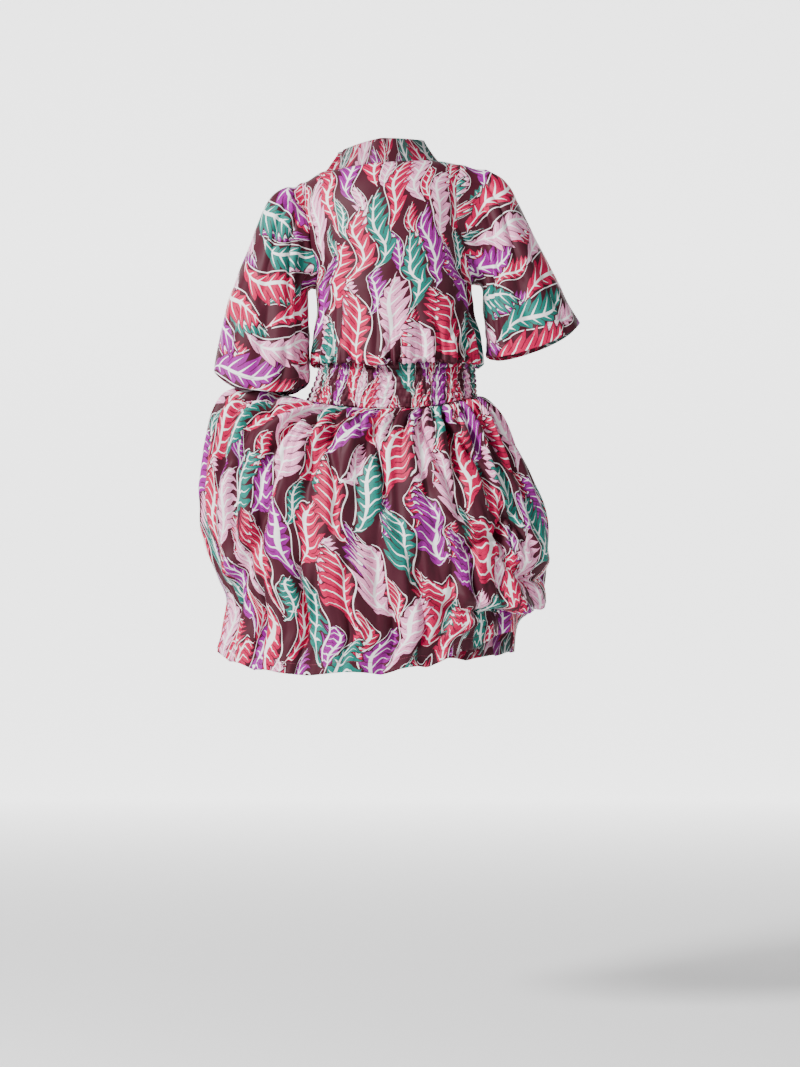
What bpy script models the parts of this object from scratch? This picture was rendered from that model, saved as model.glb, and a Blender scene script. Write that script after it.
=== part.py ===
"""A knee-length dress with a shirred waistband and balloon sides, in the hollow form it takes when worn.

Metres, +Z up. The origin is the middle of the shoulder line. The back of the dress faces +Y and
the wearer's left is +X. Every panel is one wall of cloth, made from a grid that is laid on a
surface, given its thickness, and then folded. Tables are in millimetres.
"""
import math

import bmesh
import bpy
from mathutils import Vector

MM = 0.001

# Cloth and seams
WALL = 1.8 * MM
SEAM = 0.3 * MM
SHIFT = SEAM / 2
SHOULDER_GAP = 0.4 * MM

# Shoulders and neck
NECK_X = 12 * MM
BODICE_ROWS = 12
BODICE_COLUMNS = 28
CORNER_COLUMN = 5
TOP_CURL = 0.3
SHOULDER_ROUND = 150 * MM
ROUND = 2.4
BACK_DEPTH = 112 * MM
FRONT_DEPTH = 122 * MM
WAIST_DEPTH = 121 * MM
V_POINT = -168 * MM
V_CURVE = 1.15
RING_POWER = 2.2

# Blouse of the bodice over the band
LIP_AT = 0.915
LIP_OUT = 3 * MM
BAND_TOP = -336 * MM
BODICE_FOLDS = 7
BODICE_FOLD_DEPTH = 4.5 * MM

# Waistband
BAND_POWER = 2.3
RIDGES = 24
SHIRRING_ROWS = 6
PUFF = 2.6 * MM

# Skirt
SKIRT_LEVELS = 9
SKIRT_BACK_COLUMNS = 96
SKIRT_FRONT_COLUMNS = 72
SKIRT_POWER = 2.3
GATHERS = 24
GATHER_DEPTH = 4.6 * MM
BROAD_FOLDS = 15
BROAD_DEPTH = 7 * MM
MOUTH_FROM = 0.03
MOUTH_TO = 0.30
MOUTH_HALF = 11 * MM
MOUTH_REACH = 0.022

# Sleeves
SLEEVE_ROWS = 8
ARMHOLE_GAP = 0.4 * MM

# Pocket bags
POCKET_FROM = 0.05
POCKET_TO = 0.28
POCKET_DEPTH = 150 * MM
POCKET_LEAF = 2.3 * MM
POCKET_COLUMNS = 6
POCKET_ROWS = 12

# Collar
COLLAR_BACK = 42 * MM
COLLAR_LEAN = 24 * MM
COLLAR_FRONT = 34 * MM
COLLAR_GAP = 0.6 * MM
COLLAR_COLUMNS = 72
COLLAR_ROWS = 2

# Height of the shoulder line, from the left tip to the right tip
SHOULDER_LINE = [
    {"x": 152, "z": -24},
    {"x": 111, "z": -4},
    {"x": 12, "z": 22},
    {"x": -87, "z": 14},
    {"x": -128, "z": 8},
]

# Side of the whole trunk at each height
TRUNK_SIDES = [
    {"z": 30, "left": 160, "right": -150},
    {"z": -100, "left": 150, "right": -150},
    {"z": -212, "left": 127, "right": -147},
    {"z": -245, "left": 124, "right": -151},
    {"z": -300, "left": 131, "right": -163},
    {"z": -330, "left": 134, "right": -165},
    {"z": -350, "left": 134, "right": -165},
]

# The armhole seams, from the shoulder tip to the underarm
ARMHOLE_LEFT = [
    {"z": -24, "x": 151},
    {"z": -60, "x": 145},
    {"z": -130, "x": 135},
    {"z": -178, "x": 123},
    {"z": -212, "x": 127},
]
ARMHOLE_RIGHT = [
    {"z": 8, "x": -127},
    {"z": -40, "x": -119},
    {"z": -98, "x": -119},
    {"z": -145, "x": -134},
    {"z": -178, "x": -140},
    {"z": -204, "x": -146.8},
]

# Lower edge of the blouse round the body, by turn from the left side seam over the back
LIP_HEIGHTS = [
    {"turn": 0.00, "z": -341},
    {"turn": 0.10, "z": -344},
    {"turn": 0.22, "z": -349},
    {"turn": 0.32, "z": -345},
    {"turn": 0.42, "z": -344},
    {"turn": 0.50, "z": -341},
    {"turn": 0.62, "z": -345},
    {"turn": 0.75, "z": -349},
    {"turn": 0.88, "z": -344},
    {"turn": 1.00, "z": -341},
]

# Waistband, top and bottom
BAND_ROWS = [
    {"left": 113, "right": -148, "back": 98, "front": -103, "left_z": -336, "right_z": -336,
     "back_z": -336, "front_z": -336},
    {"left": 124, "right": -150, "back": 101, "front": -106, "left_z": -373, "right_z": -368,
     "back_z": -380, "front_z": -376},
    {"left": 140, "right": -152, "back": 106, "front": -110, "left_z": -409, "right_z": -400,
     "back_z": -425, "front_z": -416},
]

# Skirt sections from the band to the hem: side seams, centre back and centre front
SKIRT_ROWS = [
    {"left": 140, "right": -152, "back": 106, "front": -110, "left_z": -409.3, "right_z": -400.3,
     "back_z": -425.3, "front_z": -416.3},
    {"left": 190, "right": -170, "back": 124, "front": -126, "left_z": -398, "right_z": -408,
     "back_z": -440, "front_z": -432},
    {"left": 240, "right": -191, "back": 138, "front": -140, "left_z": -387, "right_z": -434,
     "back_z": -466, "front_z": -458},
    {"left": 281, "right": -211, "back": 147, "front": -150, "left_z": -397, "right_z": -469,
     "back_z": -502, "front_z": -496},
    {"left": 303, "right": -230, "back": 154, "front": -160, "left_z": -430, "right_z": -507,
     "back_z": -546, "front_z": -541},
    {"left": 317, "right": -249, "back": 160, "front": -168, "left_z": -486, "right_z": -548,
     "back_z": -592, "front_z": -590},
    {"left": 324, "right": -268, "back": 164, "front": -174, "left_z": -553, "right_z": -590,
     "back_z": -638, "front_z": -638},
    {"left": 324, "right": -279, "back": 166, "front": -178, "left_z": -607, "right_z": -635,
     "back_z": -684, "front_z": -686},
    {"left": 312, "right": -279, "back": 166, "front": -180, "left_z": -660, "right_z": -688,
     "back_z": -730, "front_z": -732},
    {"left": 293, "right": -274, "back": 164, "front": -180, "left_z": -712, "right_z": -736,
     "back_z": -774, "front_z": -776},
    {"left": 276, "right": -256, "back": 162, "front": -178, "left_z": -752, "right_z": -771,
     "back_z": -815, "front_z": -815},
    {"left": 282, "right": -229, "back": 160, "front": -176, "left_z": -792, "right_z": -798,
     "back_z": -846, "front_z": -846},
    {"left": 294, "right": -222, "back": 158, "front": -174, "left_z": -848, "right_z": -848,
     "back_z": -877, "front_z": -870},
]

# How far the hem rises or falls from its even line, by turn from the left side seam over the back
HEM_LIFTS = [
    {"turn": 0.00, "lift": 0},
    {"turn": 0.08, "lift": -8},
    {"turn": 0.15, "lift": -10},
    {"turn": 0.26, "lift": 0},
    {"turn": 0.30, "lift": 7},
    {"turn": 0.36, "lift": 26},
    {"turn": 0.42, "lift": 42},
    {"turn": 0.46, "lift": 38},
    {"turn": 0.50, "lift": 0},
    {"turn": 0.62, "lift": -6},
    {"turn": 0.75, "lift": 0},
    {"turn": 0.90, "lift": -8},
    {"turn": 1.00, "lift": 0},
]

# The largest folds of the skirt: a line from one place to another, and how far it stands out
SKIRT_FOLDS = [
    {"turn": 0.262, "down": 0.06, "to_turn": 0.258, "to_down": 0.78, "width": 0.009, "depth": -9},
    {"turn": 0.288, "down": 0.34, "to_turn": 0.276, "to_down": 1.02, "width": 0.008, "depth": -9},
    {"turn": 0.335, "down": 0.05, "to_turn": 0.430, "to_down": 0.55, "width": 0.011, "depth": -9},
    {"turn": 0.365, "down": 0.05, "to_turn": 0.455, "to_down": 0.48, "width": 0.012, "depth": 8},
    {"turn": 0.135, "down": 0.06, "to_turn": 0.045, "to_down": 0.42, "width": 0.010, "depth": -9},
    {"turn": 0.165, "down": 0.08, "to_turn": 0.085, "to_down": 0.62, "width": 0.010, "depth": -8},
    {"turn": 0.405, "down": 0.50, "to_turn": 0.440, "to_down": 0.66, "width": 0.012, "depth": -12},
    {"turn": 0.420, "down": 0.70, "to_turn": 0.490, "to_down": 0.72, "width": 0.014, "depth": 9},
    {"turn": 0.310, "down": 0.80, "to_turn": 0.440, "to_down": 0.88, "width": 0.010, "depth": -8},
    {"turn": 0.068, "down": 0.66, "to_turn": 0.066, "to_down": 1.02, "width": 0.009, "depth": -9},
    {"turn": 0.124, "down": 0.62, "to_turn": 0.126, "to_down": 1.02, "width": 0.009, "depth": -10},
    {"turn": 0.172, "down": 0.48, "to_turn": 0.166, "to_down": 1.02, "width": 0.008, "depth": -12},
    {"turn": 0.218, "down": 0.55, "to_turn": 0.222, "to_down": 1.02, "width": 0.009, "depth": -8},
    {"turn": 0.304, "down": 0.62, "to_turn": 0.306, "to_down": 1.02, "width": 0.008, "depth": -9},
    {"turn": 0.560, "down": 0.40, "to_turn": 0.575, "to_down": 1.02, "width": 0.010, "depth": -10},
    {"turn": 0.640, "down": 0.06, "to_turn": 0.560, "to_down": 0.46, "width": 0.011, "depth": -9},
    {"turn": 0.690, "down": 0.45, "to_turn": 0.695, "to_down": 1.02, "width": 0.009, "depth": -10},
    {"turn": 0.752, "down": 0.10, "to_turn": 0.748, "to_down": 0.90, "width": 0.010, "depth": -9},
    {"turn": 0.815, "down": 0.50, "to_turn": 0.808, "to_down": 1.02, "width": 0.009, "depth": -10},
    {"turn": 0.870, "down": 0.06, "to_turn": 0.945, "to_down": 0.44, "width": 0.011, "depth": -9},
    {"turn": 0.925, "down": 0.55, "to_turn": 0.920, "to_down": 1.02, "width": 0.009, "depth": -10},
]

# Sleeves from just outside the armhole to the hem: the top line, the underarm line and the depth
SLEEVE_LEFT_ROWS = [
    {"out_x": 174, "out_z": -27, "in_x": 137, "in_z": -211, "half": 58, "sag": 0},
    {"out_x": 205, "out_z": -54, "in_x": 141, "in_z": -222, "half": 67, "sag": 4},
    {"out_x": 230, "out_z": -104, "in_x": 139, "in_z": -270, "half": 74, "sag": 10},
    {"out_x": 252, "out_z": -158, "in_x": 138, "in_z": -301, "half": 78, "sag": 17},
    {"out_x": 270, "out_z": -205, "in_x": 138, "in_z": -324, "half": 80, "sag": 24},
    {"out_x": 287, "out_z": -252, "in_x": 138, "in_z": -343, "half": 81, "sag": 30},
    {"out_x": 304, "out_z": -348, "in_x": 138, "in_z": -366, "half": 82, "sag": 36},
]
SLEEVE_RIGHT_ROWS = [
    {"out_x": -172, "out_z": 5, "in_x": -156, "in_z": -205, "half": 58, "sag": 0},
    {"out_x": -205, "out_z": -32, "in_x": -166, "in_z": -215, "half": 67, "sag": 3},
    {"out_x": -232, "out_z": -75, "in_x": -168, "in_z": -252, "half": 73, "sag": 7},
    {"out_x": -258, "out_z": -121, "in_x": -171, "in_z": -276, "half": 77, "sag": 11},
    {"out_x": -284, "out_z": -171, "in_x": -172, "in_z": -295, "half": 80, "sag": 15},
    {"out_x": -309, "out_z": -220, "in_x": -172, "in_z": -311, "half": 81, "sag": 19},
    {"out_x": -336, "out_z": -269, "in_x": -172, "in_z": -325, "half": 82, "sag": 22},
]
SLEEVE_FOLDS = [
    {"turn": 0.16, "down": 0.04, "to_turn": 0.30, "to_down": 0.55, "width": 0.030, "depth": -6},
    {"turn": 0.34, "down": 0.10, "to_turn": 0.40, "to_down": 1.02, "width": 0.030, "depth": -7},
    {"turn": 0.24, "down": 0.55, "to_turn": 0.22, "to_down": 1.02, "width": 0.035, "depth": -6},
    {"turn": 0.82, "down": 0.06, "to_turn": 0.70, "to_down": 0.60, "width": 0.030, "depth": -6},
    {"turn": 0.64, "down": 0.12, "to_turn": 0.62, "to_down": 1.02, "width": 0.030, "depth": -7},
]
BODICE_LINES = [
    {"turn": 0.07, "down": 0.35, "to_turn": 0.10, "to_down": 0.86, "width": 0.016, "depth": -6},
    {"turn": 0.40, "down": 0.50, "to_turn": 0.36, "to_down": 0.88, "width": 0.016, "depth": -6},
    {"turn": 0.45, "down": 0.30, "to_turn": 0.43, "to_down": 0.88, "width": 0.014, "depth": -5},
    {"turn": 0.60, "down": 0.42, "to_turn": 0.62, "to_down": 0.88, "width": 0.016, "depth": -6},
    {"turn": 0.90, "down": 0.42, "to_turn": 0.88, "to_down": 0.88, "width": 0.016, "depth": -6},
]

SHOULDER_HALF = (SHOULDER_LINE[0]["x"] - SHOULDER_LINE[-1]["x"]) / 2 * MM
CORNER_TURN = CORNER_COLUMN / BODICE_COLUMNS
CURLED_SHARE = TOP_CURL * math.cos(math.pi * CORNER_TURN)
EVEN_SHARE = (1 - TOP_CURL) * (1 - 2 * CORNER_TURN)
NECK_HALF = SHOULDER_HALF * (CURLED_SHARE + EVEN_SHARE)

COLOURS = {
    "bodice": (0.24, 0.045, 0.085, 1),
    "sleeve": (0.30, 0.05, 0.11, 1),
    "collar": (0.20, 0.035, 0.07, 1),
    "band": (0.27, 0.05, 0.14, 1),
    "skirt": (0.22, 0.04, 0.08, 1),
    "pocket": (0.12, 0.025, 0.045, 1),
}


def ease(low, high, value):
    """0 below low, 1 above high and a soft step between."""
    share = min(max((value - low) / (high - low), 0), 1)
    return share * share * (3 - 2 * share)


def read(table, key, place, by):
    """The value of a column at a place between two rows, eased from row to row."""
    rows = sorted(table, key=lambda row: row[by])
    if place <= rows[0][by]:
        return rows[0][key]
    for low, high in zip(rows, rows[1:]):
        if place <= high[by]:
            return low[key] + (high[key] - low[key]) * ease(low[by], high[by], place)
    return rows[-1][key]


def spline(table, key, share):
    """The value of a column on a smooth curve through all rows, share 0 at the first."""
    place = min(max(share, 0), 1) * (len(table) - 1)
    row = min(int(place), len(table) - 2)
    part = place - row
    before = table[max(row - 1, 0)][key]
    low = table[row][key]
    high = table[row + 1][key]
    after = table[min(row + 2, len(table) - 1)][key]
    slope_low = (high - before) / 2
    slope_high = (after - low) / 2
    square = part * part
    cube = square * part
    return (low * (2 * cube - 3 * square + 1) + slope_low * (cube - 2 * square + part)
            + high * (3 * square - 2 * cube) + slope_high * (cube - square))


def signed_power(value, power):
    return math.copysign(abs(value) ** power, value)


def ring(table, turn, down, power):
    """A point of a rounded ring whose sizes come from a table. Turn 0 is the left side, 0.25 the back."""
    cosine = math.cos(2 * math.pi * turn)
    sine = math.sin(2 * math.pi * turn)
    left = spline(table, "left", down)
    right = spline(table, "right", down)
    end = "back" if sine > 0 else "front"
    side = "left_z" if cosine > 0 else "right_z"
    x = (left + right) / 2 + (left - right) / 2 * signed_power(cosine, 2 / power)
    y = spline(table, end, down) * abs(sine) ** (2 / power)
    z = spline(table, side, down) * cosine ** 2 + spline(table, end + "_z", down) * sine ** 2
    return Vector((x, y, z)) * MM


def fold_lines(table, turn, down):
    """How far the listed folds push the cloth out or in at a place."""
    total = 0
    for fold in table:
        along = Vector((fold["to_turn"] - fold["turn"], fold["to_down"] - fold["down"]))
        here = Vector((turn - fold["turn"], down - fold["down"]))
        share = min(max(here.dot(along) / along.length_squared, 0), 1)
        across = abs(here.x - along.x * share)
        beyond = abs(here.y - along.y * share)
        near = math.exp(-(across / fold["width"]) ** 2 - (beyond / 0.05) ** 2)
        total += fold["depth"] * near * (0.35 + 0.65 * math.sin(math.pi * (0.15 + 0.7 * share)))
    return total * MM


def frame_of(surface, closed=False):
    """The surface's point and outward normal at a place, by small steps to each side."""
    step = 2e-3
    first, last = (-1, 2) if closed else (0, 1)

    def frame(u, v):
        across = surface(min(u + step, last), v) - surface(max(u - step, first), v)
        down = surface(u, min(v + step, 1)) - surface(u, max(v - step, 0))
        return surface(u, v), down.cross(across).normalized()

    return frame


# Trunk of the bodice

def shoulder_height(x):
    return read(SHOULDER_LINE, "z", x / MM, "x") * MM


def trunk_depth(x, z, front, seam_x=None):
    """How far the front or back of the trunk stands from the side seams' plane."""
    top = shoulder_height(x if seam_x is None else seam_x)
    left = read(TRUNK_SIDES, "left", z / MM, "z") * MM
    right = read(TRUNK_SIDES, "right", z / MM, "z") * MM
    middle = (left + right) / 2
    half = (left - right) / 2
    below = min(max((top - z) / SHOULDER_ROUND, 0), 1)
    rise = (1 - (1 - below) ** ROUND) ** (1 / ROUND)
    chest = FRONT_DEPTH if front else BACK_DEPTH
    full = chest + (WAIST_DEPTH - chest) * ease(-150 * MM, -330 * MM, z)
    across = min(abs(x - middle) / half, 1)
    return full * rise * (1 - across ** RING_POWER) ** (1 / RING_POWER)


def edge_x(z, right):
    """The armhole seam above the underarm, and the side seam below it."""
    table = ARMHOLE_RIGHT if right else ARMHOLE_LEFT
    if z / MM > table[-1]["z"]:
        return read(table, "x", z / MM, "z") * MM
    return read(TRUNK_SIDES, "right" if right else "left", z / MM, "z") * MM


def top_height(x, front):
    """Shoulder seam at the sides and neckline between: low at the back, a V at the front."""
    seam = shoulder_height(x)
    across = abs(x - NECK_X) / NECK_HALF
    if across >= 1:
        return seam
    left, right = SHOULDER_LINE[1]["z"] * MM, SHOULDER_LINE[3]["z"] * MM
    line = (left + right) / 2 + (left - right) / 2 * (x - NECK_X) / NECK_HALF
    if front:
        line = V_POINT + (line - V_POINT) * across ** V_CURVE
    return min(seam, line)


def top_share(u):
    """Share of the way from the right shoulder tip to the left one, for the back panel's columns."""
    return TOP_CURL * (1 + math.cos(math.pi * u)) / 2 + (1 - TOP_CURL) * (1 - u)


def ring_angle(x, z):
    """Angle round the trunk's ring at which it crosses x."""
    left = read(TRUNK_SIDES, "left", z / MM, "z") * MM
    right = read(TRUNK_SIDES, "right", z / MM, "z") * MM
    return math.acos(min(max((2 * x - left - right) / (left - right), -1), 1))


def bodice_point(u, v, front):
    """u runs from seam to seam and v from the shoulder to the seam on the band."""
    turn = (0.5 + u / 2) if front else u / 2
    across = 1 - u if front else u
    down = min(v / LIP_AT, 1)
    lip = read(LIP_HEIGHTS, "z", turn, "turn") * MM
    tip_left = SHOULDER_LINE[0]["x"] * MM
    tip_right = SHOULDER_LINE[-1]["x"] * MM
    top_x = tip_right + (tip_left - tip_right) * top_share(across)
    z = top_height(top_x, front)
    z += (lip - z) * down
    left_z = SHOULDER_LINE[0]["z"] * MM
    left_z += (lip - left_z) * down
    right_z = SHOULDER_LINE[-1]["z"] * MM
    right_z += (lip - right_z) * down
    left = edge_x(left_z, False)
    right = edge_x(right_z, True)
    first, last = ring_angle(left, left_z), ring_angle(right, right_z)
    here = math.cos(first + (last - first) * across)
    share = (here - math.cos(last)) / (math.cos(first) - math.cos(last))
    share += (top_share(across) - share) * (1 - ease(0, 0.15, v))
    x = right + (left - right) * share
    if abs(top_x - NECK_X) > 1.01 * NECK_HALF:
        depth = trunk_depth(x, z, front, top_x + (x - top_x) * ease(0, 0.05, v))
    else:
        depth = trunk_depth(x, z, front)
    if v == 0:
        depth = max(depth, SHOULDER_GAP)
    point = Vector((x, -depth if front else depth, z))
    if v > LIP_AT:
        turned = (v - LIP_AT) / (1 - LIP_AT)
        seam = ring(BAND_ROWS, turn, 0, BAND_POWER)
        raised = math.sin(math.pi / 2 * turned)
        point = point.lerp(seam, turned ** 1.6)
        point.z = z + (BAND_TOP + SEAM - z) * raised - LIP_OUT * math.sin(math.pi * turned)
    return point


def bodice_relief(u, v, front):
    turn = (0.5 + u / 2) if front else u / 2
    wave = math.cos(2 * math.pi * (BODICE_FOLDS * 2 * turn + 0.3 * math.sin(14 * turn)))
    gathered = ease(0.62, 0.86, v) * (1 - ease(0.93, 1, v))
    return BODICE_FOLD_DEPTH * wave * gathered + fold_lines(BODICE_LINES, turn, v) * (1 - ease(0.9, 0.97, v))


# Waistband

def band_point(u, v, front):
    return ring(BAND_ROWS, (u + (1 if front else 0)) / 2, v, BAND_POWER)


def band_puff(u, v):
    """Vertical ridges, drawn in by the shirring rows."""
    ridge = 0.5 - 0.5 * math.cos(2 * math.pi * RIDGES * u)
    between = abs(math.sin(math.pi * (SHIRRING_ROWS + 1) * v))
    return PUFF * (0.25 + 0.75 * between) * (0.3 + 0.7 * ridge) * ease(0, 0.01, v) * ease(1, 0.99, v)


# Skirt

def skirt_point(u, v, front):
    turn = (u + (1 if front else 0)) / 2
    point = ring(SKIRT_ROWS, turn, v, SKIRT_POWER)
    point.z += read(HEM_LIFTS, "lift", turn, "turn") * MM * ease(0.7, 1, v)
    seam = min(u, 1 - u) / 2
    parted = math.exp(-(seam / MOUTH_REACH) ** 2)
    parted *= math.sin(math.pi * min(max((v - MOUTH_FROM) / (MOUTH_TO - MOUTH_FROM), 0), 1)) ** 0.7
    point.y += MOUTH_HALF * parted * (-1 if front else 1)
    point.z += MOUTH_HALF * parted * (0.2 if front else -0.5)
    return point


def skirt_relief(u, v, front):
    turn = (u + (1 if front else 0)) / 2
    uneven = 0.22 * math.sin(2 * math.pi * 3 * turn) + 0.13 * math.sin(2 * math.pi * 7 * turn + 1)
    gather = math.cos(2 * math.pi * (2 * GATHERS * turn + uneven))
    drawn = ease(0, 0.09, v) * (1 - 0.9 * ease(0.16, 0.52, v))
    broad = math.sin(2 * math.pi * (BROAD_FOLDS * turn + 0.5 * uneven) + 3.2 * v)
    hanging = ease(0.12, 0.6, v)
    total = GATHER_DEPTH * gather * drawn + BROAD_DEPTH * broad * hanging
    return total + fold_lines(SKIRT_FOLDS, turn, v)


# Sleeves

def armhole_loop(right):
    """A loop just outside the armhole's rim: down the back from the tip and up the front."""
    table = ARMHOLE_RIGHT if right else ARMHOLE_LEFT
    lip = LIP_HEIGHTS[0]["z"]
    tip = SHOULDER_LINE[-1 if right else 0]["z"]
    count = math.ceil(BODICE_ROWS * LIP_AT * (tip - table[-1]["z"]) / (tip - lip))
    rim = []
    for front in (False, True):
        frame = frame_of(lambda u, v: bodice_point(u, v, front))
        side = 1 if right != front else 0
        for row in (range(count, 0, -1) if front else range(count)):
            point, normal = frame(side, row / BODICE_ROWS)
            if row in (0, count):
                normal.y = 0
            else:
                point.y += -SHIFT if front else SHIFT
            rim.append((point, normal))
    loop = []
    for place, (point, normal) in enumerate(rim):
        along = rim[(place + 1) % len(rim)][0] - rim[place - 1][0]
        apart = along.cross(normal).normalized()
        loop.append(point + apart * (-ARMHOLE_GAP if right else ARMHOLE_GAP))
    return loop


def sleeve_ring(table, turn, down):
    """Turn 0 is the top line, 0.25 the back, 0.5 the underarm line and 0.75 the front."""
    cosine = math.cos(2 * math.pi * turn)
    sine = math.sin(2 * math.pi * turn)
    outer = Vector((spline(table, "out_x", down), 0, spline(table, "out_z", down)))
    inner = Vector((spline(table, "in_x", down), 0, spline(table, "in_z", down)))
    middle = (outer + inner) / 2
    point = middle + (outer - inner) / 2 * signed_power(cosine, 0.85)
    point.y = spline(table, "half", down) * signed_power(sine, 0.8)
    point.z -= spline(table, "sag", down) * abs(sine)
    return point * MM


def sleeve_point(table, loop, turn, v):
    """A tube from the armhole's own rim to the hem."""
    place = turn % 1 * len(loop)
    low = int(place)
    rim = loop[low % len(loop)].lerp(loop[(low + 1) % len(loop)], place - low)
    first = 1 / SLEEVE_ROWS
    return rim.lerp(sleeve_ring(table, turn, (v - first) / (1 - first)), min(v / first, 1))


# Collar

def neck_edge(u):
    """The bodice's own rim: from the point of the V up the right side, round the back and down."""
    columns = BODICE_COLUMNS
    middle = columns // 2
    side = middle - CORNER_COLUMN
    place = u * 4 * side
    if place < side:
        place, front = middle - place, True
    elif place > 3 * side:
        place, front = middle + 4 * side - place, True
    else:
        place, front = columns - CORNER_COLUMN - (place - side), False
    low = min(int(place), columns - 1)
    points = [bodice_point(k / columns, 0, front) for k in (low, low + 1)]
    return points[0].lerp(points[1], place - low), front


def collar_point(u, v):
    """v 0 is the seam and 1 the free edge: standing at the back, lying in the V at the front."""
    seam, front = neck_edge(u)
    across = (seam.x - NECK_X) / NECK_HALF
    upright = Vector((-across * COLLAR_LEAN, 0, COLLAR_BACK - 8 * MM * abs(across)))
    if not front:
        upright.y = -6 * MM * (1 - abs(across))
        lift = upright
        gap = lift * SEAM / COLLAR_BACK
        y = seam.y + upright.y * v + SHIFT
    else:
        mitre = min(u, 1 - u) * 4
        edge = Vector((NECK_HALF, 0, -V_POINT)).normalized()
        square = Vector((-math.copysign(edge.z, across), 0, edge.x)) * COLLAR_FRONT
        point_up = Vector((0, 0, COLLAR_FRONT / edge.x))
        stand = ease(0.5, 1, mitre)
        lift = point_up.lerp(square, mitre).lerp(upright, stand)
        gap = lift * 1.5 * SEAM / COLLAR_FRONT
        flat_y = -trunk_depth(seam.x + lift.x * v, seam.z + lift.z * v, True)
        y = flat_y + (seam.y - flat_y) * stand - SHIFT
    point = seam + lift * v + gap
    point.y = y
    point.x += COLLAR_GAP * (u - 0.5)
    return point


def collar_frame(u, v):
    """The two ends meet on the middle line, so they are cut square to it."""
    point, normal = frame_of(collar_point)(u, v)
    normal.x *= ease(0, 0.03, min(u, 1 - u))
    return point, normal.normalized()


# Pocket bags

def mouth_edge(v, right, front):
    """The inner rim of the skirt's parted edge, straight from row to row."""
    u = 1 if right != front else 0
    low = min(int(v * SKIRT_LEVELS), SKIRT_LEVELS - 1)
    rims = []
    for level in (low / SKIRT_LEVELS, (low + 1) / SKIRT_LEVELS):
        point, normal = frame_of(lambda s, t: skirt_point(s, t, front))(u, level)
        rims.append(point + normal * (skirt_relief(u, level, front) - WALL - SEAM))
    return rims[0].lerp(rims[1], v * SKIRT_LEVELS - low)


def pocket_point(a, b, right):
    """a runs along the mouth and b from its back edge down, round the bottom and up to its front edge."""
    v = POCKET_FROM + (POCKET_TO - POCKET_FROM) * a
    back = mouth_edge(v, right, False)
    front = mouth_edge(v, right, True)
    half = max((back.y - front.y) / 2, POCKET_LEAF)
    point = back.lerp(front, 0.5 - 0.5 * math.cos(math.pi * b))
    point.y = (back.y + front.y) / 2 + half * signed_power(math.cos(math.pi * b), 0.4)
    corner = (1 - abs(2 * a - 1) ** 4) ** 0.5
    point.z -= (0.35 + 0.65 * corner) * POCKET_DEPTH * math.sin(math.pi * b) ** 0.4
    return point


# Making the walls

def material_for(name, colour):
    material = bpy.data.materials.new(name)
    material.use_nodes = True
    shader = material.node_tree.nodes["Principled BSDF"]
    shader.inputs["Base Color"].default_value = colour
    shader.inputs["Roughness"].default_value = 0.7
    shader.inputs["Metallic"].default_value = 0.0
    return material


def laid_grid(name, across, down, surface, welded):
    """A grid on the surface, with each point's place on the cloth kept with it."""
    bpy.ops.mesh.primitive_grid_add(x_subdivisions=across, y_subdivisions=down, size=2)
    panel = bpy.context.object
    panel.name = name
    panel.data.name = name
    places = panel.data.attributes.new("place", "FLOAT_VECTOR", "POINT")
    for vertex, place in zip(panel.data.vertices, places.data):
        u = round((vertex.co.x + 1) / 2, 6)
        v = round((1 - vertex.co.y) / 2, 6)
        place.vector = (u, v, 0)
        vertex.co = surface(u, v)
    if welded:
        mesh = bmesh.new()
        mesh.from_mesh(panel.data)
        bmesh.ops.remove_doubles(mesh, verts=mesh.verts, dist=1e-6)
        mesh.to_mesh(panel.data)
        mesh.free()
    return panel


def add_wall(panel):
    """Gives the grid its thickness and returns how many of its points are on the outside."""
    outside = len(panel.data.vertices)
    bpy.ops.object.select_all(action="DESELECT")
    panel.select_set(True)
    bpy.context.view_layer.objects.active = panel
    wall = panel.modifiers.new("wall", "SOLIDIFY")
    wall.thickness = WALL
    wall.offset = -1
    bpy.ops.object.modifier_apply(modifier=wall.name)
    return outside


def finish(panel, colour):
    panel.data.materials.append(material_for(panel.name + "_cloth", COLOURS[colour]))
    for polygon in panel.data.polygons:
        polygon.use_smooth = True
    for collection in panel.users_collection:
        collection.objects.unlink(panel)
    dress.objects.link(panel)
    return panel


def cloth_panel(name, colour, across, down, frame, relief, shift=0.0, welded=False):
    """One wall of cloth: the frame gives points and normals, and relief how far folds stand out."""
    panel = laid_grid(name, across, down, lambda u, v: frame(u, v)[0], welded)
    outside = add_wall(panel)
    places = [tuple(place.vector)[:2] for place in panel.data.attributes["place"].data]
    for index, vertex in enumerate(panel.data.vertices):
        u, v = places[index]
        point, normal = frame(u, v)
        depth = relief(u, v) - (WALL if index >= outside else 0)
        vertex.co = point + normal * depth + Vector((0, shift, 0))
    return finish(panel, colour)


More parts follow.
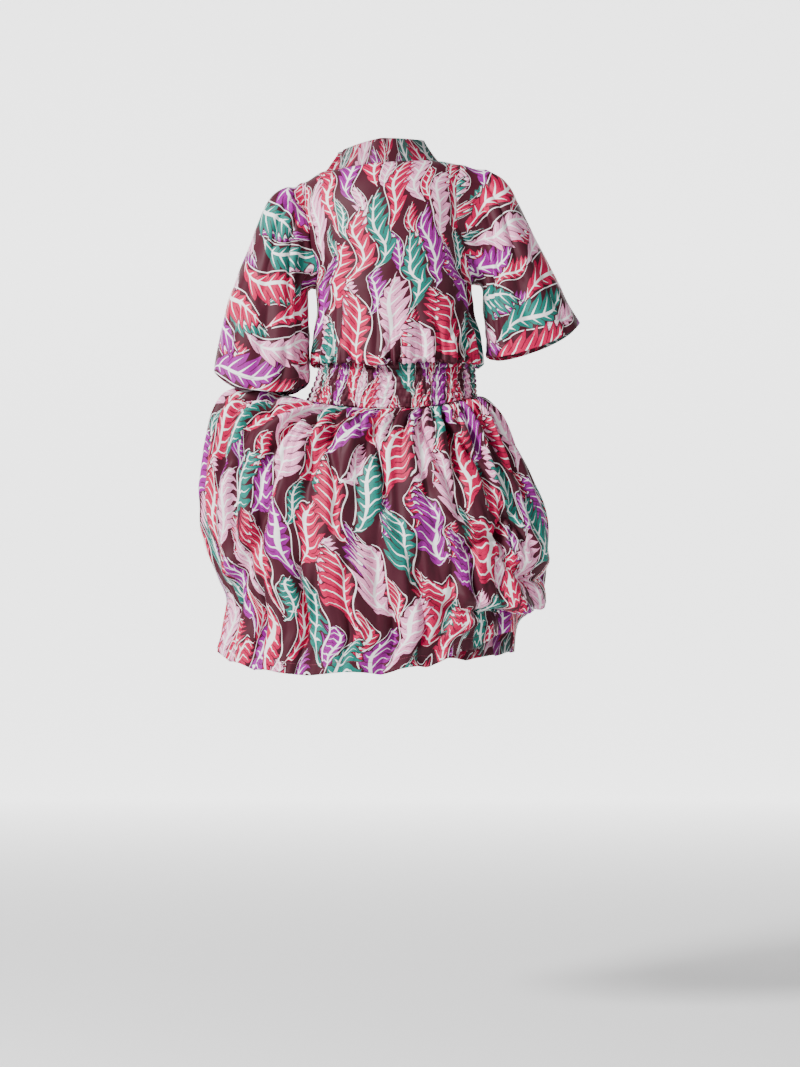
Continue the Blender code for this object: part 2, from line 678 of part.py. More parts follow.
def shirred_panel(name, front):
    """Half of the waistband: a plain inside, and an outside cut finer and raised into puffs."""
    frame = frame_of(lambda u, v: band_point(u, v, front))
    panel = laid_grid(name, RIDGES, 2, lambda u, v: frame(u, v)[0], False)
    outside = add_wall(panel)
    mesh = bmesh.new()
    mesh.from_mesh(panel.data)
    mesh.verts.ensure_lookup_table()
    place = mesh.verts.layers.float_vector["place"]
    for vertex in mesh.verts[:outside]:
        vertex[place].z = 1

    def outer_edges(column):
        found = []
        for edge in mesh.edges:
            first, second = (vertex[place] for vertex in edge.verts)
            if min(first.z, second.z) > 0.9 and abs(first[1 - column] - second[1 - column]) < 1e-5:
                found.append(edge)
        return found

    for column, cuts in ((1, SHIRRING_ROWS), (0, 1)):
        edges = outer_edges(column)
        bmesh.ops.subdivide_edges(mesh, edges=edges, cuts=cuts, use_grid_fill=True)
    shift = -SHIFT if front else SHIFT
    for vertex in mesh.verts:
        u, v, outer = vertex[place]
        point, normal = frame(u, v)
        raised = band_puff(u, v) * ease(0, 0.01, u) * ease(1, 0.99, u)
        depth = raised if outer > 0.9 else -WALL
        vertex.co = point + normal * depth + Vector((0, shift, 0))
    mesh.to_mesh(panel.data)
    mesh.free()
    return finish(panel, "band")


for old in list(bpy.data.objects):
    bpy.data.objects.remove(old)
dress = bpy.data.collections.new("shirred_balloon_dress")
bpy.context.scene.collection.children.link(dress)

for front in (False, True):
    side = "front" if front else "back"
    shift = -SHIFT if front else SHIFT
    cloth_panel(
        "bodice_" + side, "bodice", BODICE_COLUMNS, BODICE_ROWS,
        frame_of(lambda u, v: bodice_point(u, v, front)),
        lambda u, v: bodice_relief(u, v, front), shift)
    shirred_panel("waistband_" + side, front)
    cloth_panel(
        "skirt_" + side, "skirt", SKIRT_FRONT_COLUMNS if front else SKIRT_BACK_COLUMNS, SKIRT_LEVELS,
        frame_of(lambda u, v: skirt_point(u, v, front)),
        lambda u, v: skirt_relief(u, v, front), shift)

for right in (False, True):
    side = "right" if right else "left"
    table = SLEEVE_RIGHT_ROWS if right else SLEEVE_LEFT_ROWS
    loop = armhole_loop(right)
    cloth_panel(
        "sleeve_" + side, "sleeve", 2 * len(loop), SLEEVE_ROWS,
        frame_of(lambda u, v: sleeve_point(table, loop, 1 - u if right else u, v), closed=True),
        lambda u, v: fold_lines(SLEEVE_FOLDS, 1 - u if right else u, v) * ease(0, 0.12, v), welded=True)
    cloth_panel(
        "pocket_" + side, "pocket", POCKET_COLUMNS, POCKET_ROWS,
        frame_of(lambda u, v: pocket_point(u if right else 1 - u, v, right)), lambda u, v: 0)

cloth_panel("collar", "collar", COLLAR_COLUMNS, COLLAR_ROWS, collar_frame, lambda u, v: 0)
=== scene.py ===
"""Looks of a knee-length printed cotton dress, worn and seen from behind.

Millimetres are used for the cloth, and become metres when a mesh is made. The back of the dress
faces +Y and the wearer's left is +X. U runs across a panel and V from its top to its hem.
"""
import math

import bpy
import numpy as np
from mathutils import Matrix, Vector, noise


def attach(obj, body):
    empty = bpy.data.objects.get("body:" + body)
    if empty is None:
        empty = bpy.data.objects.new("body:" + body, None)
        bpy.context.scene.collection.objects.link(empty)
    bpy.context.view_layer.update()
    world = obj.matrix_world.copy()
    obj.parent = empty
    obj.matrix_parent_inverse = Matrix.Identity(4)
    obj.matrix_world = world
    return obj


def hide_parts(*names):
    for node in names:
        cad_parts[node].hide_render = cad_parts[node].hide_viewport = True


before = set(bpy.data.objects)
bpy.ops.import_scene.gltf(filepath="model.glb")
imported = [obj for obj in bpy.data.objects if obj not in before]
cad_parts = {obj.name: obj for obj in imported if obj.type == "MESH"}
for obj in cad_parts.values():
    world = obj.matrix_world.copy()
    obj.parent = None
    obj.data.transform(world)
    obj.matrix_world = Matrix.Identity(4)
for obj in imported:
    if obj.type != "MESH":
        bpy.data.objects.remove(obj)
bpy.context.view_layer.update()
PI = math.pi

# Sizes shared with the cut of the dress
BAND_TOP = -336
SEAM = 0.3
CLOTH = 0.8
NECK_X = 12
V_POINT = -168
BACK_DEPTH, FRONT_DEPTH, WAIST_DEPTH = 112, 122, 121
LIP_AT = 0.915
RIGHT_TIP, LEFT_TIP = -128, 152
SHOULDER_SPAN = LEFT_TIP - RIGHT_TIP
FLOOR_Z = -1.52

# Girth and length of each form, by which creases and wrinkles are measured
SKIRT_FORM = (1900, 480)
BODICE_FORM = (760, 370)
SLEEVE_FORM = (560, 330)
CREASE_DEPTH = 1.6

# Width of each panel's print, laid flat
SKIRT_PRINT, BAND_PRINT, BODICE_PRINT, SLEEVE_PRINT, COLLAR_PRINT, POCKET_PRINT = 1060, 900, 440, 470, 950, 140
FIRST_RING = 0.125
SHIRRING_ROWS = 8

# Worn form, section by section
SHOULDER = {"x": (-128, -87, 12, 111, 152), "z": (8, 14, 22, -4, -24)}
TRUNK = {
    "z": (-350, -330, -300, -245, -212, -100, 30),
    "left": (134, 134, 131, 124, 127, 150, 160),
    "right": (-165, -165, -163, -151, -147, -150, -150),
}
ARMHOLE = (
    {"z": (-212, -178, -130, -60, -24), "x": (127, 123, 135, 145, 151)},
    {"z": (-204, -178, -145, -98, -40, 8), "x": (-146.8, -140, -134, -119, -119, -127)},
)
LIP = {
    "turn": (0, 0.10, 0.22, 0.32, 0.42, 0.50, 0.62, 0.75, 0.88, 1),
    "z": (-341, -344, -349, -345, -344, -341, -345, -349, -344, -341),
}
BAND = {
    "left": (113, 124, 140), "right": (-148, -150, -152), "back": (98, 101, 106),
    "front": (-103, -106, -110), "left_z": (-336, -373, -409), "right_z": (-336, -368, -400),
    "back_z": (-336, -380, -425), "front_z": (-336, -376, -416),
}
SKIRT = {
    "left": (140, 190, 240, 281, 303, 317, 324, 324, 312, 293, 276, 282, 294),
    "right": (-152, -170, -191, -211, -230, -249, -268, -279, -279, -274, -256, -229, -222),
    "back": (106, 124, 138, 147, 154, 160, 164, 166, 166, 164, 162, 160, 158),
    "front": (-110, -126, -140, -150, -160, -168, -174, -178, -180, -180, -178, -176, -174),
    "left_z": (-409.3, -398, -387, -397, -430, -486, -553, -607, -660, -712, -752, -792, -848),
    "right_z": (-400.3, -408, -434, -469, -507, -548, -590, -635, -688, -736, -771, -798, -848),
    "back_z": (-425.3, -440, -466, -502, -546, -592, -638, -684, -730, -774, -815, -846, -877),
    "front_z": (-416.3, -432, -458, -496, -541, -590, -638, -686, -732, -776, -815, -846, -870),
}
HEM_LIFT = {
    "turn": (0, 0.08, 0.15, 0.26, 0.30, 0.36, 0.42, 0.46, 0.50, 0.62, 0.75, 0.90, 1),
    "lift": (0, -8, -10, 0, 7, 26, 42, 38, 0, -6, 0, -8, 0),
}
SLEEVE = (
    {
        "out_x": (174, 205, 230, 252, 270, 287, 304),
        "out_z": (-27, -54, -104, -158, -205, -252, -348),
        "in_x": (137, 141, 139, 138, 138, 138, 138),
        "in_z": (-211, -222, -270, -301, -324, -343, -366),
        "half": (58, 67, 74, 78, 80, 81, 82), "sag": (0, 4, 10, 17, 24, 30, 36),
    },
    {
        "out_x": (-172, -205, -232, -258, -284, -309, -336),
        "out_z": (5, -32, -75, -121, -171, -220, -269),
        "in_x": (-156, -166, -168, -171, -172, -172, -172),
        "in_z": (-205, -215, -252, -276, -295, -311, -325),
        "half": (58, 67, 73, 77, 80, 81, 82), "sag": (0, 3, 7, 11, 15, 19, 22),
    },
)

# Main creases of the skirt: three places on the cloth (turn, down), width in mm and depth in mm
SKIRT_CREASES = (
    (0.232, 0.01, 0.261, 0.30, 0.256, 0.46, 7, -13),
    (0.256, 0.46, 0.250, 0.62, 0.246, 0.80, 9, -9),
    (0.319, 0.02, 0.364, 0.263, 0.385, 0.463, 10, -9),
    (0.385, 0.463, 0.402, 0.56, 0.4225, 0.65, 10, -8),
    (0.3025, 0.469, 0.314, 0.519, 0.345, 0.60, 7, -11),
    (0.300, 0.450, 0.318, 0.485, 0.350, 0.56, 9, 8),
    (0.3885, 0.444, 0.379, 0.537, 0.375, 0.619, 8, -12),
    (0.400, 0.494, 0.386, 0.575, 0.395, 0.638, 7, -12),
    (0.405, 0.475, 0.375, 0.537, 0.381, 0.638, 7, -14),
    (0.378, 0.628, 0.412, 0.700, 0.486, 0.713, 8, -15),
    (0.400, 0.560, 0.418, 0.606, 0.440, 0.620, 18, 14),
    (0.335, 0.619, 0.336, 0.700, 0.347, 0.800, 8, -12),
    (0.345, 0.800, 0.400, 0.900, 0.490, 0.860, 10, -20),
    (0.360, 0.740, 0.410, 0.790, 0.480, 0.770, 18, 14),
    (0.330, 0.569, 0.348, 0.548, 0.378, 0.552, 8, -13),
    (0.372, 0.590, 0.405, 0.640, 0.470, 0.660, 12, 10),
    (0.290, 0.72, 0.348, 0.794, 0.470, 0.90, 12, -14),
    (0.300, 0.68, 0.352, 0.745, 0.470, 0.82, 16, 10),
    (0.020, 0.06, 0.1115, 0.188, 0.1085, 0.281, 10, -9),
    (0.1525, 0.10, 0.151, 0.325, 0.1175, 0.40, 9, -10),
    (0.145, 0.288, 0.119, 0.375, 0.060, 0.444, 10, -10),
    (0.169, 0.206, 0.165, 0.388, 0.145, 0.519, 9, -9),
    (0.156, 0.475, 0.1275, 0.631, 0.064, 0.769, 13, -12),
    (0.130, 0.56, 0.100, 0.68, 0.050, 0.73, 16, 9),
    (0.1915, 0.588, 0.1785, 0.738, 0.180, 0.99, 8, -14),
    (0.204, 0.625, 0.1925, 0.731, 0.185, 0.844, 8, -9),
    (0.266, 0.481, 0.276, 0.619, 0.270, 0.75, 8, -10),
    (0.2875, 0.531, 0.281, 0.719, 0.2975, 0.99, 9, -13),
    (0.314, 0.60, 0.3115, 0.675, 0.310, 0.763, 9, -8),
    (0.2325, 0.588, 0.2225, 0.75, 0.2315, 0.99, 9, -10),
    (0.1525, 0.631, 0.120, 0.812, 0.1325, 0.99, 9, -12),
    (0.104, 0.713, 0.060, 0.856, 0.069, 0.98, 10, -11),
    (0.260, 0.713, 0.2585, 0.819, 0.2725, 0.99, 9, -9),
    (0.359, 0.02, 0.380, 0.194, 0.390, 0.344, 9, -9),
    (0.3975, 0.02, 0.4115, 0.206, 0.425, 0.363, 9, -9),
    (0.2875, 0.02, 0.3225, 0.312, 0.325, 0.475, 9, -10),
    (0.144, 0.031, 0.195, 0.256, 0.189, 0.425, 9, -9),
    (0.175, 0.025, 0.2225, 0.306, 0.2175, 0.531, 8, -9),
    (0.340, 0.02, 0.343, 0.200, 0.336, 0.360, 8, -8),
    (0.208, 0.02, 0.240, 0.180, 0.238, 0.330, 7, -8),
    (0.430, 0.02, 0.446, 0.160, 0.462, 0.300, 9, -8),
    (0.090, 0.05, 0.066, 0.200, 0.040, 0.300, 10, -8),
    (0.545, 0.04, 0.560, 0.30, 0.566, 0.56, 10, -10),
    (0.566, 0.45, 0.575, 0.70, 0.572, 0.99, 10, -12),
    (0.630, 0.02, 0.600, 0.26, 0.575, 0.46, 10, -10),
    (0.668, 0.02, 0.655, 0.30, 0.660, 0.55, 9, -10),
    (0.695, 0.40, 0.688, 0.70, 0.697, 0.99, 10, -13),
    (0.735, 0.02, 0.742, 0.35, 0.738, 0.62, 9, -11),
    (0.760, 0.50, 0.752, 0.76, 0.758, 0.99, 10, -11),
    (0.785, 0.02, 0.802, 0.28, 0.800, 0.50, 9, -9),
    (0.815, 0.48, 0.808, 0.74, 0.816, 0.99, 10, -12),
    (0.845, 0.02, 0.872, 0.22, 0.905, 0.40, 10, -10),
    (0.880, 0.44, 0.868, 0.70, 0.874, 0.99, 10, -11),
    (0.915, 0.05, 0.935, 0.20, 0.960, 0.32, 10, -9),
    (0.930, 0.55, 0.918, 0.78, 0.924, 0.99, 11, -12),
    (0.620, 0.60, 0.628, 0.80, 0.622, 0.99, 10, -10),
    (0.520, 0.66, 0.560, 0.76, 0.640, 0.80, 14, -9),
)
BODICE_CREASES = (
    (0.038, 0.40, 0.052, 0.62, 0.056, 0.88, 9, -6),
    (0.075, 0.30, 0.092, 0.56, 0.098, 0.86, 12, -5),
    (0.120, 0.58, 0.128, 0.74, 0.124, 0.90, 7, -5),
    (0.165, 0.66, 0.170, 0.80, 0.166, 0.91, 6, -5),
    (0.205, 0.60, 0.212, 0.76, 0.208, 0.91, 7, -4),
    (0.250, 0.68, 0.246, 0.80, 0.252, 0.91, 6, -5),
    (0.290, 0.62, 0.296, 0.78, 0.300, 0.91, 7, -5),
    (0.345, 0.86, 0.372, 0.74, 0.420, 0.60, 8, -6),
    (0.385, 0.88, 0.410, 0.78, 0.455, 0.70, 8, -6),
    (0.430, 0.40, 0.452, 0.62, 0.446, 0.86, 10, -7),
    (0.468, 0.46, 0.474, 0.66, 0.462, 0.88, 8, -6),
    (0.330, 0.70, 0.334, 0.82, 0.330, 0.91, 6, -4),
    (0.540, 0.44, 0.552, 0.66, 0.548, 0.88, 9, -6),
    (0.590, 0.62, 0.600, 0.78, 0.604, 0.91, 8, -5),
    (0.640, 0.56, 0.646, 0.74, 0.640, 0.91, 7, -5),
    (0.690, 0.66, 0.688, 0.80, 0.694, 0.91, 7, -5),
    (0.745, 0.60, 0.750, 0.76, 0.746, 0.91, 7, -5),
    (0.800, 0.64, 0.806, 0.80, 0.800, 0.91, 7, -5),
    (0.850, 0.56, 0.856, 0.74, 0.862, 0.91, 8, -5),
    (0.905, 0.40, 0.918, 0.64, 0.912, 0.88, 10, -6),
    (0.955, 0.44, 0.948, 0.66, 0.952, 0.88, 9, -6),
)
SLEEVE_CREASES = (
    (0.10, 0.06, 0.17, 0.30, 0.20, 0.62, 10, -6),
    (0.17, 0.04, 0.26, 0.26, 0.31, 0.55, 10, -6),
    (0.28, 0.06, 0.35, 0.34, 0.37, 0.75, 11, -8),
    (0.40, 0.08, 0.42, 0.45, 0.40, 0.99, 10, -8),
    (0.22, 0.50, 0.24, 0.75, 0.23, 0.99, 12, -6),
    (0.12, 0.60, 0.11, 0.80, 0.13, 0.99, 12, -5),
    (0.31, 0.70, 0.32, 0.85, 0.30, 0.99, 12, -6),
    (0.60, 0.08, 0.58, 0.45, 0.60, 0.99, 10, -8),
    (0.72, 0.06, 0.65, 0.32, 0.63, 0.72, 11, -7),
    (0.84, 0.05, 0.76, 0.28, 0.70, 0.60, 10, -6),
    (0.78, 0.52, 0.76, 0.76, 0.77, 0.99, 12, -6),
    (0.90, 0.10, 0.88, 0.40, 0.86, 0.70, 10, -5),
)


# Shared arithmetic on whole grids

def smooth(low, high, value):
    share = np.clip((value - low) / (high - low), 0, 1)
    return share * share * (3 - 2 * share)


def looked_up(places, values, at):
    """The value at a place between two listed ones, eased from one to the next."""
    places, values = np.asarray(places, float), np.asarray(values, float)
    row = np.clip(np.searchsorted(places, at) - 1, 0, len(places) - 2)
    return values[row] + (values[row + 1] - values[row]) * smooth(places[row], places[row + 1], at)


def curve(values, share):
    """A smooth curve through all the listed values, share 0 at the first."""
    values = np.asarray(values, float)
    place = np.clip(share, 0, 1) * (len(values) - 1)
    row = np.minimum(place.astype(int), len(values) - 2)
    part = place - row
    before, low = values[np.maximum(row - 1, 0)], values[row]
    high, after = values[row + 1], values[np.minimum(row + 2, len(values) - 1)]
    square, cube = part * part, part ** 3
    return (low * (2 * cube - 3 * square + 1) + (high - before) / 2 * (cube - 2 * square + part)
            + high * (3 * square - 2 * cube) + (after - low) / 2 * (cube - square))


def signed_power(value, power):
    return np.sign(value) * np.abs(value) ** power


def ring(table, turn, down, power=2.3):
    """Places on a rounded ring. Turn 0 is the left side, 0.25 the back and 0.5 the right side."""
    cosine, sine = np.cos(2 * PI * turn), np.sin(2 * PI * turn)
    left, right = curve(table["left"], down), curve(table["right"], down)
    back = sine > 0
    x = (left + right) / 2 + (left - right) / 2 * signed_power(cosine, 2 / power)
    y = np.where(back, curve(table["back"], down), curve(table["front"], down))
    side_z = np.where(cosine > 0, curve(table["left_z"], down), curve(table["right_z"], down))
    end_z = np.where(back, curve(table["back_z"], down), curve(table["front_z"], down))
    z = side_z * cosine ** 2 + end_z * sine ** 2
    return np.stack([x, y * np.abs(sine) ** (2 / power), z], axis=-1)


def grid(columns, downs):
    """U and V at each crossing of a panel's threads."""
    return np.meshgrid(np.linspace(0, 1, columns + 1), downs)


def outward(points, around=False):
    """Unit normals of a grid, pointing out of the dress."""
    if around:
        across = np.roll(points, -1, 1) - np.roll(points, 1, 1)
        across[:, 0] = across[:, -1] = points[:, 1] - points[:, -2]
    else:
        across = np.gradient(points, axis=1)
    down = np.gradient(points, axis=0)
    normals = np.cross(down, across)
    return normals / np.maximum(np.linalg.norm(normals, axis=-1, keepdims=True), 1e-9)


def pushed(points, relief, around=False):
    return points + outward(points, around) * relief[..., None]


def creases(table, turn, down, form):
    """Soft troughs and ridges along the listed lines, deepest at their middle."""
    width, length = form
    total = np.zeros_like(turn)
    across, along = turn * width, down * length
    for turn_a, down_a, turn_b, down_b, turn_c, down_c, wide, deep in table:
        best = np.full_like(turn, 1e9)
        place = np.zeros_like(turn)
        steps = np.linspace(0, 1, 9)
        xs = ((1 - steps) ** 2 * turn_a + 2 * steps * (1 - steps) * (2 * turn_b - (turn_a + turn_c) / 2)
              + steps ** 2 * turn_c) * width
        ys = ((1 - steps) ** 2 * down_a + 2 * steps * (1 - steps) * (2 * down_b - (down_a + down_c) / 2)
              + steps ** 2 * down_c) * length
        for k in range(len(steps) - 1):
            dx, dy = xs[k + 1] - xs[k], ys[k + 1] - ys[k]
            share = np.clip(((across - xs[k]) * dx + (along - ys[k]) * dy) / (dx * dx + dy * dy), 0, 1)
            far = np.hypot(across - xs[k] - share * dx, along - ys[k] - share * dy)
            nearer = far < best
            best = np.where(nearer, far, best)
            place = np.where(nearer, (k + share) / (len(steps) - 1), place)
        profile = 0.55 * np.exp(-(best / wide) ** 2) + 0.45 * np.exp(-best / (0.8 * wide))
        total += deep * profile * (0.15 + 0.85 * np.sin(PI * (0.08 + 0.84 * place)))
    return CREASE_DEPTH * total


def crumple(turn, down, form, across, along, seed):
    """Uneven small wrinkles, longer one way than the other, from -1 to 1."""
    width, length = form
    places = np.stack([turn * width / across, down * length / along], axis=-1).reshape(-1, 2)
    values = [noise.noise(Vector((x, y, seed))) for x, y in places]
    return np.asarray(values).reshape(turn.shape) * 1.6


def uneven(turn, seed):
    """A slow wander round the dress, which meets itself after one turn."""
    return (math.cos(seed) * np.sin(2 * PI * (3 * turn + 0.1 * seed))
            + 0.7 * np.sin(2 * PI * (7 * turn + 0.3 * seed))
            + 0.5 * np.sin(2 * PI * (13 * turn + 0.7 * seed)))


def local_only(drift):
    """Keeps what changes from fold to fold, and takes out the slow drift across the whole panel.

    The drift is the mean over a strip of columns, and the rest is evened over a few rows.
    """
    wide, tall = 31, 3
    padded = np.pad(drift, ((tall, tall), (wide, wide)), mode="reflect", reflect_type="odd")
    slow = np.cumsum(np.pad(padded, ((0, 0), (1, 0))), axis=1)
    slow = (slow[:, 2 * wide + 1:] - slow[:, :-2 * wide - 1]) / (2 * wide + 1)
    change = padded[:, wide:-wide] - slow
    mean = np.cumsum(np.pad(change, ((1, 0), (0, 0))), axis=0)
    return (mean[2 * tall + 1:] - mean[:-2 * tall - 1]) / (2 * tall + 1)


# Making meshes

def cloth_mesh(name, points, width, start=(0, 0), turned=False, around=False, relief=None, fullness=0):
    """A panel's mesh with its place on the flat cloth, in metres, as its UV map.

    Fullness is how much more cloth the sides of a fold take than their relief shows. The print of a
    turned piece runs round it and is measured from its hem.
    """
    rows, columns = points.shape[0] - 1, points.shape[1] - 1
    lengths = np.linalg.norm(np.diff(points, axis=0), axis=-1)
    along = np.vstack([np.zeros((1, columns + 1)), np.cumsum(lengths, axis=0)])
    steps = np.linalg.norm(np.diff(points, axis=1), axis=-1)
    if relief is not None:
        steps = steps + fullness * np.abs(np.diff(relief, axis=1))
    across = np.hstack([np.zeros((rows + 1, 1)), np.cumsum(steps, axis=1)])
    even = np.linspace(0, 1, columns + 1)[None, :]
    across = width * (even + local_only(across / across[:, -1:] - even))
    from_hem = along[-1:] - along
    flat = np.stack([from_hem, across] if turned else [across, -along], axis=-1)
    flat = (flat + np.asarray(start)) / 1000
    wide = columns if around else columns + 1
    k = np.arange(rows)[:, None] * wide + np.arange(columns)[None, :]
    right = np.arange(rows)[:, None] * wide + (np.arange(columns)[None, :] + 1) % wide
    quads = np.stack([k, k + wide, right + wide, right], axis=-1).reshape(-1, 4)
    mesh = bpy.data.meshes.new(name)
    mesh.from_pydata((points[:, :wide].reshape(-1, 3) / 1000).tolist(), [], quads.tolist())
    uv = mesh.uv_layers.new(name="cloth")
    corner = np.stack([flat[:-1, :-1], flat[1:, :-1], flat[1:, 1:], flat[:-1, 1:]], axis=2)
    uv.data.foreach_set("uv", corner.reshape(-1).astype(np.float32))
    edge = mesh.attributes.new("from_hem", "FLOAT", "POINT")
    edge.data.foreach_set("value", (from_hem[:, :wide].reshape(-1) / 1000).astype(np.float32))
    piece = bpy.data.objects.new(name, mesh)
    bpy.context.scene.collection.objects.link(piece)
    mesh.polygons.foreach_set("use_smooth", [True] * len(mesh.polygons))
    return piece


def finished(piece, node, outside, inside, thickness=CLOTH):
    """Gives the sheet its thickness and its two faces, and puts it in its node's place."""
    piece.data.materials.append(outside)
    piece.data.materials.append(inside)
    bpy.ops.object.select_all(action="DESELECT")
    bpy.context.view_layer.objects.active = piece
    piece.select_set(True)
    wall = piece.modifiers.new("thickness", "SOLIDIFY")
    wall.thickness = thickness / 1000
    wall.offset = -1
    # Inner faces take the second material, whose darker print is painted shade of the inside of the dress.
    wall.material_offset = 1
    wall.material_offset_rim = 0
    wall.use_quality_normals = True
    bpy.ops.object.modifier_apply(modifier=wall.name)
    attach(piece, "root")
    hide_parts(node)
    return piece


# The printed cotton

class Field:
    """A value in a material's node tree that adds, multiplies and compares as a number does."""

    def __init__(self, tree, socket):
        self.tree, self.socket = tree, socket

    def made(self, operation, *others):
        node = self.tree.nodes.new("ShaderNodeMath")
        node.operation = operation
        for place, value in enumerate((self, *others)):
            if isinstance(value, Field):
                self.tree.links.new(value.socket, node.inputs[place])
            else:
                node.inputs[place].default_value = value
        return Field(self.tree, node.outputs[0])

    def __add__(self, other):
        return self.made("ADD", other)

    def __sub__(self, other):
        return self.made("SUBTRACT", other)

    def __mul__(self, other):
        return self.made("MULTIPLY", other)

    def __truediv__(self, other):
        return self.made("DIVIDE", other)

    def __lt__(self, other):
        return self.made("LESS_THAN", other)

    def __gt__(self, other):
        return self.made("GREATER_THAN", other)

    def whole(self):
        return self.made("FLOOR")

    def part(self):
        return self.made("FRACT")

    def size(self):
        return self.made("ABSOLUTE")

    def wave(self):
        return (self * PI).made("SINE")

    def within(self, low, high):
        return self.made("MAXIMUM", low).made("MINIMUM", high)


def mixed(tree, share, first, second):
    """One colour where share is 0 and the other where it is 1."""
    node = tree.nodes.new("ShaderNodeMix")
    node.data_type = "RGBA"
    for place, value in ((0, share), (6, first), (7, second)):
        if isinstance(value, Field):
            tree.links.new(value.socket, node.inputs[place])
        elif isinstance(value, tuple):
            node.inputs[place].default_value = value
        else:
            tree.links.new(value, node.inputs[place])
    return node.outputs[2]


GROUND = (0.052, 0.004, 0.013, 1)
CREAM = (0.93, 0.91, 0.92, 1)
CRIMSON = (0.52, 0.0004, 0.062, 1)
INKS = (CRIMSON, (0.0005, 0.185, 0.150, 1), (0.27, 0.006, 0.245, 1), CRIMSON, (0.90, 0.34, 0.57, 1))
CELL_ACROSS, CELL_ALONG = 128, 176
PRINT_SIZE = 0.87
LEAF_LAYERS = ((0.22, 0.70, 0.62), (0.72, 0.16, 0.62), (0.5, 0.45, 1.0), (0.0, 0.0, 1.0))


def leaf_print():
    """Our own repeat: overlapping toothed leaves with a pale rib, pale veins and a fine outer line."""
    tree = bpy.data.node_groups.new("leaf_print", "ShaderNodeTree")
    tree.interface.new_socket("Place", in_out="INPUT", socket_type="NodeSocketVector")
    tree.interface.new_socket("Color", in_out="OUTPUT", socket_type="NodeSocketColor")
    given = tree.nodes.new("NodeGroupInput")
    result = tree.nodes.new("NodeGroupOutput")
    apart = tree.nodes.new("ShaderNodeSeparateXYZ")
    tree.links.new(given.outputs[0], apart.inputs[0])
    wander = tree.nodes.new("ShaderNodeTexNoise")
    wander.inputs["Scale"].default_value = 9.0
    wander.inputs["Detail"].default_value = 1.0
    tree.links.new(given.outputs[0], wander.inputs["Vector"])
    drift = Field(tree, wander.outputs["Fac"]) * 14 - 7
    place_x = Field(tree, apart.outputs[0]) * (1000 / PRINT_SIZE) + drift
    place_y = Field(tree, apart.outputs[1]) * (1000 / PRINT_SIZE) + drift * 0.6
    fleck = tree.nodes.new("ShaderNodeTexNoise")
    fleck.inputs["Scale"].default_value = 620.0
    fleck.inputs["Detail"].default_value = 2.0
    tree.links.new(given.outputs[0], fleck.inputs["Vector"])
    flecked = Field(tree, fleck.outputs["Fac"]) > 0.56
    colour = GROUND
    for layer, (shift_x, shift_y, size) in enumerate(LEAF_LAYERS):
        across = place_x / CELL_ACROSS + shift_x
        column = across.whole()
        along = place_y / CELL_ALONG + column * 0.36 + shift_y
        row = along.whole()
        luck = ((column * 0.417 + row * 0.271 + 0.13 * layer).part() * 38.7).part()
        turned = (luck > 0.55) * 2 - 1
        x = (across - column - 0.5) * CELL_ACROSS * turned
        t = (along - row - 0.5) / size + 0.5
        bow = (t * 2 - 1).wave() * (-15 * size) + (t - 0.5) * (luck * 22 + 46) * size
        d = x - bow
        side = d.size() / size
        wide = (d > 0) * 0.52 + 0.48
        root = t - side * 0.0047
        grow = (root * 1.10 - 0.03).within(0.004, 0.996)
        reach = (grow * grow * -0.35 + grow * 1.35).wave().made("POWER", 0.72) * wide * 49
        tooth = ((root * 7.5).part() * 2 - 1).size()
        edge = reach * (tooth * -0.46 + 1)
        inside = (t > 0.02) * (t < 0.99)
        body = (side < edge) * inside
        skirted = (side < edge + 3.0) * inside
        middle = t.within(0, 1).wave()
        rib = (side < middle * middle * 3.1 + 0.8) * inside * (t < 0.97)
        ray = (tooth < (side / (reach * 0.82)) * -0.25 + 0.235) * body
        parting = (tooth > 0.90) * (side > reach * 0.25)
        line_at = middle.made("POWER", 0.8) * (wide * 46) + 2
        line = ((side - line_at).size() < 1.1) * (d < 0) * (t > 0.10) * (t < 0.92)
        pale = (rib + ray + line).within(0, 1)
        pick = (column * 0.2 + row * 0.4 + (layer * 0.4 + 0.1)).part()
        ramp = tree.nodes.new("ShaderNodeValToRGB")
        ramp.color_ramp.interpolation = "CONSTANT"
        ramp.color_ramp.elements[0].color = INKS[0]
        ramp.color_ramp.elements[1].position = 0.2
        ramp.color_ramp.elements[1].color = INKS[1]
        for position, ink in ((0.4, INKS[2]), (0.6, INKS[3]), (0.8, INKS[4])):
            ramp.color_ramp.elements.new(position).color = ink
        tree.links.new(pick.socket, ramp.inputs[0])
        ink = mixed(tree, (flecked * 0.36 + parting * 0.8).within(0, 0.85), ramp.outputs[0], GROUND)
        colour = mixed(tree, skirted, colour, GROUND)
        colour = mixed(tree, body, colour, ink)
        colour = mixed(tree, pale, colour, CREAM)
    tree.links.new(colour, result.inputs[0])
    return tree


